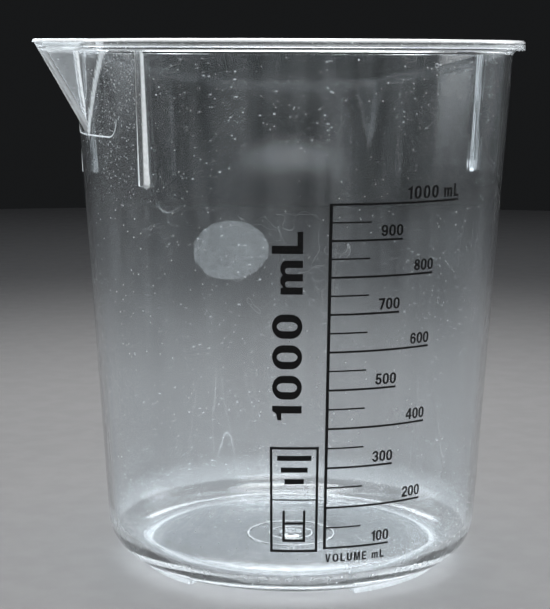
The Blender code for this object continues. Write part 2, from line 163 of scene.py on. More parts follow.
# The print, laid out flat: x runs to the right along the wall as seen from outside, and y is the height.
MARK_1000_HEIGHT = 0.1092
PRINT_RADIUS = 0.059
INK_GAP = 0.00003
INK_THICKNESS = 0.00004
INK_SLICE = 0.0008
SPINE_X = -0.0130
SPINE_WIDTH = 0.00085
LINE_THICKNESS = 0.00055
SHORT_LINE_THICKNESS = 0.00042
LINE_END_TOP = 0.0256
LINE_END_LONG = 0.0173
LINE_END_MIDDLE = 0.0069
LINE_END_SHORT = -0.0023
NUMERAL_HEIGHT = 0.0030
NUMERAL_LIFT = 0.0009
NUMERAL_SPACE = 0.0003
TOP_NUMERAL_HEIGHT = 0.0034
TOP_NUMERAL_SPACE = 0.0007
CAPACITY_HEIGHT = 0.0080
CAPACITY_STRETCH = 1.25
CAPACITY_SPACE = 0.00175
CAPACITY_CENTRE = (-0.0240, 0.0773)
LEGEND_HEIGHT = 0.0023
LEGEND_SPACE = 0.0006
LEGEND_START = (-0.0127, 0.0128)
PANEL_LEFT, PANEL_RIGHT = -0.0287, -0.0151
PANEL_BOTTOM, PANEL_TOP = 0.0158, 0.0450
PANEL_LINE = 0.0007
PATCH_WIDTH = 0.0267
PATCH_HEIGHT = 0.0192
PATCH_CENTRE = (-0.0014, 0.0838)
PATCH_SIDES = 96
BAR_WIDTHS = (0.4, 0.55, 0.7)  # shares of the panel's width
CUP_INSET = 0.26
CUP_MARGIN = 0.2
CUP_LEVEL = 0.55
GLYPH_STEP = 12  # degrees between the points of a round stroke

# The camera, measured from the beaker's axis.
CAMERA_TURN = math.radians(-21.5)
CAMERA_DISTANCE = 0.4781
CAMERA_SIDE = -0.0050
CAMERA_HEIGHT = 0.14785
CAMERA_PITCH = 0.1527
CAMERA_ROLL = 0.0038
CAMERA_LENS = 97.3
SENSOR = 36.0

# The surroundings and the light.
FLOOR_RADIUS = 1.1
FLOOR_SIDES = 160
FLOOR_CLEARANCE = 0.0001
# The floor's colours are painted light: a painted pool of light round the beaker that fades to painted shade
# further out.
FLOOR_PAINTED_LIGHT_TO = 0.20
FLOOR_PAINTED_SHADE_FROM = 0.66
FLOOR_PAINTED_LIGHT_COLOUR = (0.125, 0.125, 0.127, 1)
FLOOR_PAINTED_SHADE_COLOUR = (0.028, 0.029, 0.031, 1)
WORLD_COLOUR = (0.9, 0.95, 1.0, 1)
WORLD_STRENGTH = 0.010
AIM_HEIGHT = 0.075

# The middle of the dustiest area, beside the spout.
DUSTY_TURN = SPOUT_DIRECTION + math.radians(17)
DUSTY_HEIGHT = 0.1330


# ---------------------------------------------------------------- shape of the moulding

def around(angle, radius, height):
    return Vector((AXIS_X + radius * math.cos(angle), radius * math.sin(angle), height))


def outer_cone(height):
    return OUTER_TOP - TAPER * (HEIGHT - height)


def inner_cone(height):
    return outer_cone(height) - WALL


def larger(first, second, softness):
    """The larger of two lengths, with a rounded change from one to the other."""
    return (first + second + math.hypot(first - second, 2 * softness)) / 2


def turn_from_spout(angle):
    """How far this direction is from the spout's, from -pi to pi."""
    return (angle - SPOUT_DIRECTION + math.pi) % math.tau - math.pi


def spout_plate_normal():
    tip = Vector((SPOUT_REACH, 0, 0))
    side = OUTER_TOP * Vector((math.cos(SPOUT_HALF_ANGLE), math.sin(SPOUT_HALF_ANGLE), 0))
    root = Vector((SPOUT_ROOT, 0, -SPOUT_DROP))
    normal = (side - tip).cross(root - tip).normalized()
    return normal if normal.x > 0 else -normal


PLATE_NORMAL = spout_plate_normal()


def plate_radius(turn, height, inset):
    """How far out the nearer of the spout's plates is at this turn and height."""
    if abs(turn) > SPOUT_LIMIT:
        return 0.0
    sideways = math.hypot(math.sin(turn), CREASE_SOFTNESS)
    reach = PLATE_NORMAL.x * SPOUT_REACH - inset - PLATE_NORMAL.z * (height - HEIGHT)
    return reach / (PLATE_NORMAL.x * math.cos(turn) + PLATE_NORMAL.y * sideways)


def smooth_step(low, high, value):
    share = min(max((value - low) / (high - low), 0.0), 1.0)
    return share * share * (3 - 2 * share)


def outside_rib(turn, height):
    """How far this point of the wall is outside the outline of the nearest rib; it is negative inside."""
    nearest = math.inf
    for direction in RIB_DIRECTIONS:
        apart = (turn - turn_from_spout(direction) + math.pi) % math.tau - math.pi
        across = abs(apart) * outer_cone(height) - RIB_WIDTH / 2 + RIB_CORNER
        below = RIB_BOTTOM - height + RIB_CORNER
        outside = math.hypot(max(across, 0), max(below, 0)) + min(max(across, below), 0) - RIB_CORNER
        nearest = min(nearest, outside)
    return nearest


def rib_share(turn, height):
    """1 on a rib's face and 0 off the rib, with a narrow rounded edge between."""
    return 1 - smooth_step(-RIB_EDGE, RIB_EDGE / 3, outside_rib(turn, height))


def rib_radius(height):
    share = (height - RIB_BOTTOM) / (HEIGHT - RIB_BOTTOM)
    return RIB_BOTTOM_RADIUS + (RIB_TOP_RADIUS - RIB_BOTTOM_RADIUS) * share


def outer_wall(turn, height):
    cone = outer_cone(height)
    share = rib_share(turn, height)
    if share:
        cone += share * max(rib_radius(height) - cone, 0)
    return larger(cone, plate_radius(turn, height, 0), SPOUT_BLEND)


def inner_wall(turn, height):
    return larger(inner_cone(height), plate_radius(turn, height, SPOUT_WALL), SPOUT_BLEND)


def arc(centre, radius, start, end, steps):
    for step in range(steps + 1):
        angle = start + (end - start) * step / steps
        yield centre[0] + radius * math.cos(angle), centre[1] + radius * math.sin(angle)


def corner_arc(cone, floor, radius, steps):
    """The rounding between the tapered wall and a level floor, from the wall down to the floor."""
    lean = math.atan(TAPER)
    height = floor + radius
    centre = (cone(height) - radius / math.cos(lean), height)
    return list(arc(centre, radius, -lean, -math.pi / 2, steps))


def floor_height(radius):
    flat = inner_cone(FLOOR_TOP + INNER_CORNER_RADIUS) - INNER_CORNER_RADIUS
    height = FLOOR_TOP + FLOOR_CROWN * (1 - radius / flat)
    for middle, half, rise in GATE_RINGS:
        height += rise * (1 - smooth_step(half * 0.4, half, abs(radius - middle)))
    return height


def fixed(radius, height):
    return lambda turn: (radius, height)


def on_inner_wall(height):
    return lambda turn: (inner_wall(turn, height), height)


def on_outer_wall(height):
    return lambda turn: (outer_wall(turn, height), height)


def on_rim(inset, drop, inner=False):
    """On the flat top of the rim, this far in from its edge and this far below the top."""
    def place(turn):
        if inner:
            return inner_wall(turn, HEIGHT) + inset, HEIGHT - drop
        return flange_edge(turn) - inset, HEIGHT - drop
    return place


def flange_edge(turn):
    return larger(FLANGE_RADIUS, plate_radius(turn, HEIGHT, 0), SPOUT_BLEND / 2)


def on_flange(inset, height):
    def place(turn):
        return larger(FLANGE_RADIUS - inset, outer_wall(turn, height), SPOUT_BLEND / 4), height
    return place


def foot_share(turn, raised):
    """1 where a segment of the foot ring stands, at this share of the foot's height."""
    spacing = math.tau / FOOT_COUNT
    apart = abs((turn + spacing / 2) % spacing - spacing / 2)
    end = FOOT_SPAN / 2 + FOOT_END_SLANT * raised
    return 1 - smooth_step(end - FOOT_EDGE, end + FOOT_EDGE, apart)


def heel_height(radius):
    """The underside of the rounded corner, where no foot stands."""
    centre_height = HEEL + CORNER_RADIUS
    lean = math.atan(TAPER)
    centre = outer_cone(centre_height) - CORNER_RADIUS / math.cos(lean)
    if radius <= centre:
        return HEEL
    return centre_height - math.sqrt(max(CORNER_RADIUS**2 - (radius - centre) ** 2, 0))


def on_foot(radius, height, raised):
    def place(turn):
        share = foot_share(turn, raised)
        return radius, heel_height(radius) * (1 - share) + height * share
    return place


def spread(low, high, count):
    return [low + (high - low) * step / count for step in range(count + 1)]


def inside_profile():
    """From the middle of the floor up the inside to just below the top."""
    inner_corner = corner_arc(inner_cone, FLOOR_TOP, INNER_CORNER_RADIUS, INNER_CORNER_STEPS)[::-1]
    radii = {0.0, *FLOOR_RING_RADII, inner_corner[0][0] - 0.002}
    for middle, half, _ in GATE_RINGS:
        radii |= {middle + half * share for share in GATE_RING_SHARES if middle + half * share > 0}
    profile = [fixed(radius, floor_height(radius)) for radius in sorted(radii)]
    profile += [fixed(radius, height) for radius, height in inner_corner[1:]]
    low_wall = spread(inner_corner[-1][1] + 0.004, HEIGHT - 0.032, LOW_WALL_RINGS)
    spout_wall = spread(HEIGHT - 0.030, HEIGHT - 0.0015, SPOUT_RINGS)
    return profile + [on_inner_wall(height) for height in low_wall + spout_wall]


def rim_profile():
    """Over the rim and down the flange's edge, with its groove, to the wall below."""
    profile = [on_inner_wall(HEIGHT - 0.0004), on_rim(0.0001, 0.0001, inner=True)]
    profile += [on_rim(0.0004, 0, inner=True), on_rim(0.0011, 0)]
    for angle in spread(math.radians(90), 0, RIM_STEPS):
        profile.append(on_rim(RIM_ROUNDING * (1 - math.cos(angle)), RIM_ROUNDING * (1 - math.sin(angle))))
    profile.append(on_flange(0, HEIGHT - RIM_ROUNDING - ON_SURFACE))
    groove_drops = (GROOVE_TOP + GROOVE_SLOPE, GROOVE_BOTTOM - GROOVE_SLOPE)
    profile.append(on_flange(0, HEIGHT - GROOVE_TOP))
    profile += [on_flange(GROOVE_DEPTH, HEIGHT - drop) for drop in groove_drops]
    profile.append(on_flange(0, HEIGHT - GROOVE_BOTTOM))
    under_flange = HEIGHT - FLANGE_THICKNESS
    profile += [on_flange(0, under_flange + 0.0004), on_flange(0.0001, under_flange + 0.0001)]
    profile += [on_flange(0.0004, under_flange), on_flange(0.0012, under_flange)]
    for angle in spread(math.radians(90), math.radians(180), FILLET_STEPS):
        inset = FLANGE_REACH - FLANGE_FILLET * (1 + math.cos(angle))
        drop = FLANGE_FILLET * (1 - math.sin(angle))
        profile.append(on_flange(inset, under_flange - drop))
    # A ring close below the fillet keeps its shading off the wall.
    profile.append(on_outer_wall(under_flange - FLANGE_FILLET - 0.00008))
    return profile


def outside_profile():
    """Down the outside from below the flange to the foot ring."""
    corner = corner_arc(outer_cone, HEEL, CORNER_RADIUS, CORNER_STEPS)
    heights = spread(HEIGHT - FLANGE_THICKNESS - 0.0025, RIB_BOTTOM + 0.0014, RIB_RINGS)
    heights += [RIB_BOTTOM + rise for rise in RIB_END_RISES]
    heights += spread(RIB_BOTTOM - 0.003, corner[0][1] + 0.004, LOW_WALL_RINGS)
    foot_outer = FOOT_INNER + FOOT_WIDTH + FOOT_DRAFT
    profile = [on_outer_wall(height) for height in heights]
    profile += [fixed(radius, height) for radius, height in corner if radius > foot_outer + 0.0004]
    return profile + [fixed(foot_outer, heel_height(foot_outer))]


def underside_profile():
    """Round the foot ring and over the recess inside it to the middle of the underside."""
    foot_outer = FOOT_INNER + FOOT_WIDTH
    foot_inner = FOOT_INNER + FOOT_DRAFT
    recess = FLOOR_TOP - FLOOR_THICKNESS
    profile = [on_foot(foot_outer + FOOT_DRAFT - 0.0002, HEEL * 0.5, 0.5)]
    profile.append(on_foot(foot_outer, FOOT_ROUNDING, 0.1))
    profile += [on_foot(foot_outer - FOOT_ROUNDING, 0, 0), on_foot(foot_inner + FOOT_ROUNDING, 0, 0)]
    profile += [on_foot(foot_inner, FOOT_ROUNDING, 0.1), on_foot(FOOT_INNER + 0.0001, HEEL, 1)]
    profile += [fixed(FOOT_INNER - 0.0002, recess - 0.0003), fixed(FOOT_INNER - 0.0005, recess)]
    profile.append(fixed(FOOT_INNER - 0.0008, recess))
    for radius in RECESS_RING_RADII:
        profile.append(fixed(radius, recess + FLOOR_CROWN * (1 - radius / FOOT_INNER)))
    return profile


def body_profile():
    """The moulding's profile as functions of the turn, from the floor's middle to the underside's."""
    return inside_profile() + rim_profile() + outside_profile() + underside_profile()


def body_directions():
    """The turns of the mesh's upright lines, closer at the spout, the ribs and the ends of the feet."""
    special = set()
    for turn in spread(0, SPOUT_COLUMNS_TO, SPOUT_COLUMNS):
        special |= {turn, -turn}
    for direction in RIB_DIRECTIONS:
        middle = turn_from_spout(direction)
        for share in RIB_SHARES:
            offset = share * RIB_WIDTH / 2 / RIB_TOP_RADIUS
            special |= {middle + offset, middle - offset}
    for foot in range(FOOT_COUNT):
        middle = SPOUT_DIRECTION + foot * math.tau / FOOT_COUNT
        for side in (-1, 1):
            for share in FOOT_END_SHARES:
                end = side * (FOOT_SPAN / 2 + share * FOOT_END_SLANT)
                special.add(turn_from_spout(middle + end))
    special = {(turn + math.pi) % math.tau - math.pi for turn in special}
    turns = list(special)
    for step in range(PLAIN_COLUMNS):
        turn = -math.pi + math.tau * (step + 0.5) / PLAIN_COLUMNS
        if min(abs(turn - other) for other in special) > COLUMN_SPACE:
            turns.append(turn)
    kept = []
    for turn in sorted(turns):
        if not kept or turn - kept[-1] > LEAST_COLUMN_SPACE:
            kept.append(turn)
    return kept


def frost(turn, radius, height):
    """How matt the moulding is here, from 0 to 1. The ribs' sides, the spout's folds, the rim's edges and the
    foot ring come out of the mould less glossy than the walls."""
    outer = outer_cone(height)
    drop = HEIGHT - height
    on_flange_edge = radius > outer + OFF_WALL
    rib_distance = outside_rib(turn, height)
    recess = FLOOR_TOP - FLOOR_THICKNESS
    if height > FLOOR_TOP and any(abs(radius - middle) < half / 2 for middle, half, _ in GATE_RINGS):
        return GATE_FROST
    if height < recess + ON_SURFACE and abs(radius - FOOT_INNER) < RECESS_FROST_WIDTH:
        return RECESS_FROST
    if radius < inner_cone(height) - OFF_WALL and height > HEEL:
        return 0.0
    if height >= HEIGHT - RIM_ROUNDING:
        return RIM_FROST if radius > outer + RIM_ROUNDING else 0.0
    if on_flange_edge and GROOVE_TOP < drop < GROOVE_BOTTOM:
        return GROOVE_FROST
    if on_flange_edge and abs(height - HEIGHT + FLANGE_THICKNESS) < FLANGE_FROST_WIDTH:
        return GROOVE_FROST
    if height < HEEL * 0.9:
        return FOOT_FROST
    if rib_distance < RIB_FROST_SPILL and outer - ON_SURFACE < radius and height < HEIGHT - FLANGE_THICKNESS:
        return RIB_FROST if rib_distance > -RIB_FROST_WIDTH else RIB_FACE_FROST
    if radius > inner_cone(height) + WALL / 2 and height < HEEL + CORNER_RADIUS:
        return HEEL_FROST
    if radius < outer_wall(turn, height) - SPOUT_WALL / 2:
        beyond_wall = plate_radius(turn, height, SPOUT_WALL) - inner_cone(height)
        return SPOUT_FROST if -FOLD_WIDTH / 4 < beyond_wall < FOLD_WIDTH else 0.0
    if plate_radius(turn, height, 0) > outer:
        crease = 1 - smooth_step(CREASE_WIDTH * 0.8, CREASE_WIDTH, abs(turn) * radius)
        return PLATE_FROST + (SPOUT_FROST - PLATE_FROST) * crease
    return 0.0


def make_body(mat):
    bm = bmesh.new()
    matt = bm.verts.layers.float.new("frost")
    turns = body_directions()
    rings = []
    for place in body_profile():
        if place(0)[0] == 0:
            rings.append([bm.verts.new(around(0, 0, place(0)[1]))] * len(turns))
            continue
        ring = []
        for turn in turns:
            radius, height = place(turn)
            vert = bm.verts.new(around(SPOUT_DIRECTION + turn, radius, height))
            vert[matt] = frost(turn, radius, height)
            ring.append(vert)
        rings.append(ring)
    count = len(turns)
    for lower, upper in zip(rings, rings[1:]):
        for step in range(count):
            after = (step + 1) % count
            corners = [lower[step], upper[step], upper[after], lower[after]]
            bm.faces.new(list(dict.fromkeys(corners)))
    bmesh.ops.recalc_face_normals(bm, faces=bm.faces)
    body = add_piece("clear_body", bm, mat)
    body.data.shade_smooth()
    body.data.set_sharp_from_angle(angle=math.radians(38))
    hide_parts("beaker_body")
    return body


def add_piece(name, bm, mat):
    mesh = bpy.data.meshes.new(name)
    bm.to_mesh(mesh)
    bm.free()
    mesh.materials.append(mat)
    piece = bpy.data.objects.new(name, mesh)
    bpy.context.scene.collection.objects.link(piece)
    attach(piece, "root")
    return piece


# ---------------------------------------------------------------- the print

def wrap(x, y, depth, side):
    """The point of the flat layout at x and y, laid on the outside of the wall and raised by depth."""
    return around(side + x / PRINT_RADIUS, outer_cone(y) + depth, y)


def slice_upright(bm):
    """Cuts a flat layout into narrow upright strips, so that it follows the round wall."""
    xs = [vert.co.x for vert in bm.verts]
    left, right = min(xs), max(xs)
    count = math.ceil((right - left) / INK_SLICE)
    for cut in range(1, count):
        place = left + (right - left) * cut / count
        geometry = bm.verts[:] + bm.edges[:] + bm.faces[:]
        bmesh.ops.bisect_plane(bm, geom=geometry, plane_co=(place, 0, 0), plane_no=(1, 0, 0))


def film(node, bm, mat, side=FRONT):
    """Wraps a flat layout round the wall as a film that takes the place of the CAD node."""
    slice_upright(bm)
    bm.normal_update()
    bmesh.ops.reverse_faces(bm, faces=[face for face in bm.faces if face.normal.z < 0])
    raised = bmesh.ops.extrude_face_region(bm, geom=bm.faces[:])["geom"]
    raised_verts = {item for item in raised if isinstance(item, bmesh.types.BMVert)}
    for vert in bm.verts:
        depth = INK_GAP + (INK_THICKNESS if vert in raised_verts else 0)
        vert.co = wrap(vert.co.x, vert.co.y, depth, side)
    piece = add_piece(f"{node}_film", bm, mat)
    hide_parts(node)
    return piece


def grid_layout(columns, rows, is_filled):
    """A flat layout of the cells between these x and y values whose middle fits is_filled(x, y)."""
    bm = bmesh.new()
    corners = {}

    def corner(x, y):
        if (x, y) not in corners:
            corners[x, y] = bm.verts.new((x, y, 0))
        return corners[x, y]

    for left, right in zip(columns, columns[1:]):
        for low, high in zip(rows, rows[1:]):
            if is_filled((left + right) / 2, (low + high) / 2):
                bm.faces.new([corner(left, low), corner(right, low), corner(right, high), corner(left, high)])
    return bm


def mark_height(millilitres):
    """The height of a volume mark, from the volume of the tapered inside between it and the top mark."""
    below = (1000 - millilitres) * 1e-6
    top_radius = inner_cone(MARK_1000_HEIGHT)
    radius = (top_radius**3 - 3 * TAPER * below / math.pi) ** (1 / 3)
    return MARK_1000_HEIGHT - (top_radius - radius) / TAPER


def line_end(millilitres):
    if millilitres == 1000:
        return LINE_END_TOP
    if millilitres % 200 == 0:
        return LINE_END_LONG
    if millilitres % 100 == 0:
        return LINE_END_MIDDLE
    return LINE_END_SHORT


def make_scale(mat):
    """The spine and its lines from 100 to 1000, which are one connected print."""
    spine = (SPINE_X - SPINE_WIDTH / 2, SPINE_X + SPINE_WIDTH / 2)
    lines = []
    for volume in range(100, 1001, 50):
        thickness = LINE_THICKNESS if volume % 100 == 0 else SHORT_LINE_THICKNESS
        middle = mark_height(volume)
        lines.append((middle - thickness / 2, middle + thickness / 2, line_end(volume)))
    rows = sorted([low for low, high, end in lines] + [high for low, high, end in lines])
    columns = sorted({*spine, *(end for low, high, end in lines)})

    def is_filled(x, y):
        return x < spine[1] or any(low < y < high and x < end for low, high, end in lines)

    film("graduation_scale", grid_layout(columns, rows, is_filled), mat)


def bow(centre, radii, start, end):
    """Points along an elliptical arc between two angles in degrees."""
    steps = max(2, round(abs(end - start) / GLYPH_STEP))
    points = []
    for step in range(steps + 1):
        angle = math.radians(start + (end - start) * step / steps)
        points.append((centre[0] + radii[0] * math.cos(angle), centre[1] + radii[1] * math.sin(angle)))
    return points


def ring_outline(width, stroke):
    """The outlines of a zero or a letter O: a round-ended band."""
    half = width / 2
    outer = bow((half, 0.64), (half, 0.36), 0, 180) + bow((half, 0.36), (half, 0.36), 180, 360)
    inner_radii = (half - stroke, 0.2)
    inner = bow((half, 0.64), inner_radii, 0, 180) + bow((half, 0.36), inner_radii, 180, 360)
    return [outer, inner]


def outline_six():
    outer = bow((0.32, 0.64), (0.32, 0.36), 180, 12)
    outer += bow((0.32, 0.66), (0.12, 0.18), 15, 165)
    outer += bow((0.33, 0.33), (0.31, 0.33), 116, -180)
    return [outer, bow((0.325, 0.33), (0.12, 0.17), 0, 360)[:-1]]


def outline_eight():
    outer = bow((0.32, 0.29), (0.32, 0.29), 128, 412)
    outer += bow((0.32, 0.74), (0.29, 0.26), -52, 232)
    lower = bow((0.32, 0.28), (0.125, 0.13), 0, 360)[:-1]
    upper = bow((0.32, 0.75), (0.1, 0.105), 0, 360)[:-1]
    return [outer, lower, upper]


def outline_three():
    outer = bow((0.31, 0.72), (0.3, 0.28), 178, -42) + bow((0.31, 0.29), (0.32, 0.29), 42, -180)
    outer += bow((0.31, 0.3), (0.12, 0.14), -178, 90) + [(0.23, 0.44), (0.23, 0.58)]
    outer += bow((0.31, 0.71), (0.105, 0.13), -90, 178)
    return [outer]


def outline_two():
    outer = [(0, 0), (0.63, 0), (0.63, 0.18), (0.28, 0.18)]
    outer += bow((0.315, 0.69), (0.315, 0.31), -38, 180) + bow((0.315, 0.69), (0.115, 0.15), 180, -36)
    return [outer + [(0, 0.2)]]


def outline_five():
    outer = [(0.05, 0.46), (0.1, 1), (0.59, 1), (0.59, 0.83), (0.25, 0.83), (0.235, 0.64)]
    outer += bow((0.315, 0.33), (0.325, 0.33), 96, -176) + bow((0.315, 0.33), (0.125, 0.17), -172, 152)
    return [outer]


def outline_small_m():
    outer = [(0, 0), (0, 0.72), (0.18, 0.72), (0.18, 0.64)]
    outer += bow((0.36, 0.53), (0.19, 0.2), 140, 35) + bow((0.68, 0.53), (0.21, 0.2), 140, 0)
    outer += [(0.89, 0), (0.7, 0)] + bow((0.62, 0.48), (0.08, 0.09), 0, 180)
    outer += [(0.54, 0), (0.35, 0)] + bow((0.27, 0.48), (0.08, 0.09), 0, 180)
    return [outer + [(0.19, 0)]]


def outline_u():
    inner = bow((0.34, 0.35), (0.13, 0.18), 180, 360)
    outer = bow((0.34, 0.34), (0.34, 0.34), 0, -180)
    return [[(0, 1), (0.21, 1)] + inner + [(0.47, 1), (0.68, 1)] + outer]


def straight_outlines():
    """The characters that have only straight sides."""
    one = [(0.19, 0), (0.39, 0), (0.39, 1), (0.25, 1), (0.18, 0.87), (0, 0.82), (0, 0.69), (0.19, 0.69)]
    four = [(0.37, 0), (0.56, 0), (0.56, 0.22), (0.66, 0.22), (0.66, 0.38), (0.56, 0.38)]
    four += [(0.56, 1), (0.36, 1), (0, 0.4), (0, 0.22), (0.37, 0.22)]
    letter_e = [(0, 0), (0.58, 0), (0.58, 0.17), (0.21, 0.17), (0.21, 0.42), (0.54, 0.42)]
    letter_e += [(0.54, 0.58), (0.21, 0.58), (0.21, 0.83), (0.57, 0.83), (0.57, 1), (0, 1)]
    letter_m = [(0, 0), (0, 1), (0.28, 1), (0.42, 0.34), (0.56, 1), (0.84, 1), (0.84, 0)]
    letter_m += [(0.65, 0), (0.65, 0.68), (0.51, 0), (0.33, 0), (0.19, 0.68), (0.19, 0)]
    return {
        "1": [one],
        "4": [four, [(0.37, 0.38), (0.37, 0.74), (0.16, 0.38)]],
        "7": [[(0, 1), (0.6, 1), (0.6, 0.86), (0.34, 0), (0.12, 0), (0.38, 0.82), (0, 0.82)]],
        "E": [letter_e],
        "L": [[(0, 0), (0.58, 0), (0.58, 0.18), (0.21, 0.18), (0.21, 1), (0, 1)]],
        "M": [letter_m],
        "V": [[(0.24, 0), (0.46, 0), (0.7, 1), (0.49, 1), (0.35, 0.26), (0.21, 1), (0, 1)]],
    }


def make_outlines():
    """The closed outlines of each character, with its capitals and numerals one unit high."""
    outlines = straight_outlines()
    outlines["0"] = ring_outline(0.64, 0.2)
    outlines["O"] = ring_outline(0.78, 0.22)
    outlines["2"] = outline_two()
    outlines["3"] = outline_three()
    outlines["5"] = outline_five()
    outlines["6"] = outline_six()
    outlines["8"] = outline_eight()
    outlines["9"] = [[(0.64 - x, 1 - y) for x, y in outline] for outline in outlines["6"]]
    outlines["m"] = outline_small_m()
    outlines["U"] = outline_u()
    return outlines


OUTLINES = make_outlines()


def glyph_width(character):
    return max(x for x, y in OUTLINES[character][0])


def glyph_layout(character):
    """The flat filled shape of one character, one unit high."""
    bm = bmesh.new()
    for outline in OUTLINES[character]:
        verts = [bm.verts.new((x, y, 0)) for x, y in outline]
        for first, second in zip(verts, verts[1:] + verts[:1]):
            bm.edges.new((first, second))
    bmesh.ops.triangle_fill(bm, use_beauty=True, edges=bm.edges)
    return bm


def text_steps(text, scale, space):
    """Each character of a line with where it starts, and last the line's end. scale is one unit's size."""
    x = 0
    for character in text:
        if character == " ":
            x += 2 * space
            continue
        yield character, x
        x += glyph_width(character) * scale + space
    yield None, x - space


def text_width(text, scale, space):
    return list(text_steps(text, scale, space))[-1][1]


def make_text(prefix, text, height, space, place, mat, stretch=1):
    """Sets a line of characters, each its own film. place moves the flat layout to where it belongs."""
    scale = height * stretch
    for count, (character, x) in enumerate(list(text_steps(text, scale, space))[:-1], 1):
        glyph = glyph_layout(character)
        glyph.transform(place @ Matrix.Translation((x, 0, 0)) @ Matrix.Diagonal((scale, height, 1, 1)))
        film(f"{prefix}_{count}", glyph, mat)


def make_numerals(mat):
    for volume in range(100, 1001, 100):
        at_top = volume == 1000
        text = f"{volume} mL" if at_top else str(volume)
        height = TOP_NUMERAL_HEIGHT if at_top else NUMERAL_HEIGHT
        space = TOP_NUMERAL_SPACE if at_top else NUMERAL_SPACE
        start = line_end(volume) - text_width(text, height, space)
        place = Matrix.Translation((start, mark_height(volume) + NUMERAL_LIFT, 0))
        make_text(f"numeral_{volume}_character", text, height, space, place, mat)


def make_capacity_mark(mat):
    """The capacity in large characters that read upwards."""
    text = "1000 mL"
    width = text_width(text, CAPACITY_HEIGHT * CAPACITY_STRETCH, CAPACITY_SPACE)
    x, y = CAPACITY_CENTRE
    start = Matrix.Translation((x + CAPACITY_HEIGHT / 2, y - width / 2, 0))
    place = start @ Matrix.Rotation(math.pi / 2, 4, "Z")
    make_text("capacity_mark_character", text, CAPACITY_HEIGHT, CAPACITY_SPACE, place, mat, CAPACITY_STRETCH)


def make_legend(mat):
    place = Matrix.Translation((*LEGEND_START, 0))
    make_text("legend_character", "VOLUME mL", LEGEND_HEIGHT, LEGEND_SPACE, place, mat)


def make_panel(mat):
    """A framed panel of two cells: three level bars in the upper one and a small cup in the lower one."""
    middle = (PANEL_BOTTOM + PANEL_TOP) / 2
    line = PANEL_LINE
    columns = [PANEL_LEFT, PANEL_LEFT + line, PANEL_RIGHT - line, PANEL_RIGHT]
    rows = [PANEL_BOTTOM, PANEL_BOTTOM + line, middle - line / 4, middle + line / 4]
    rows += [PANEL_TOP - line, PANEL_TOP]

    def on_frame(x, y):
        in_cell = columns[1] < x < columns[2] and (rows[1] < y < rows[2] or rows[3] < y < rows[4])
        return not in_cell

    film("symbol_frame", grid_layout(columns, rows, on_frame), mat)
    make_level_bars(middle, mat)
    make_cup(middle, mat)


def make_level_bars(bottom, mat):
    """Three level bars, each wider than the one below it, in the panel's cell above this height."""
    width = PANEL_RIGHT - PANEL_LEFT
    cell = PANEL_TOP - bottom
    for count, share in enumerate(BAR_WIDTHS, 1):
        low = bottom + cell * (0.08 + 0.22 * count)
        start = PANEL_LEFT + width * (1 - share) / 2
        bar = grid_layout([start, start + width * share], [low, low + 2 * PANEL_LINE], lambda x, y: True)
        film(f"symbol_bar_{count}", bar, mat)


def make_cup(top, mat):
    """The outline of an open cup with a level line, in the panel's cell below this height."""
    line = PANEL_LINE
    width = PANEL_RIGHT - PANEL_LEFT
    cell = top - PANEL_BOTTOM
    left = PANEL_LEFT + width * CUP_INSET
    right = PANEL_RIGHT - width * CUP_INSET
    low = PANEL_BOTTOM + cell * CUP_MARGIN
    high = top - cell * CUP_MARGIN
    level = low + (high - low) * CUP_LEVEL
    columns = [left, left + line, right - line, right]
    rows = [low, low + line, level, level + line, high]

    def on_cup(x, y):
        return not (columns[1] < x < columns[2] and (rows[1] < y < rows[2] or rows[3] < y))

    film("symbol_cup", grid_layout(columns, rows, on_cup), mat)


def make_write_on_patch():
    """The oval matt patch on the side away from the print."""
    bm = bmesh.new()
    bmesh.ops.create_circle(bm, cap_ends=True, segments=PATCH_SIDES, radius=0.5)
    shape = Matrix.Diagonal((PATCH_WIDTH, PATCH_HEIGHT, 1, 1))
    bm.transform(Matrix.Translation((*PATCH_CENTRE, 0)) @ shape)
    film("write_on_patch", bm, matt_patch(), BACK)


def witness_path():
    """The witness line's course on one side of the spout, as turns and rises from its level stretch."""
    path = []
    for step in range(1, WITNESS_LEVEL_STEPS + 1):
        path.append((WITNESS_LEVEL_END * step / WITNESS_LEVEL_STEPS, 0))
    for step in range(1, WITNESS_CURVE_STEPS + 1):
        angle = math.pi / 2 * step / WITNESS_CURVE_STEPS
        turn = WITNESS_LEVEL_END + (WITNESS_END - WITNESS_LEVEL_END) * math.sin(angle)
        path.append((turn, WITNESS_RISE * (1 - math.cos(angle))))
    return path


def witness_ring(path, step, side):
    """The points across the witness line at one step of its path. It thins out over the last two steps."""
    turn, rise = path[step]
    after = path[min(step + 1, len(path) - 1)]
    before = path[max(step - 1, 0)]
    along = Vector(((after[0] - before[0]) * PRINT_RADIUS, after[1] - before[1])).normalized()
    reach = WITNESS_THICKNESS * min(1, (len(path) - step) / 2)
    direction = SPOUT_DIRECTION + side * turn
    height = WITNESS_HEIGHT + rise
    points = []
    for corner in range(WITNESS_CORNERS):
        angle = math.pi * corner / (WITNESS_CORNERS - 1)
        across = math.cos(angle) * reach
        out = math.sin(angle) * reach * WITNESS_FLATNESS - WITNESS_SINK
        shifted = direction - side * across * along.y / PRINT_RADIUS
        points.append(around(shifted, outer_cone(height) + out, height + across * along.x))
    return points


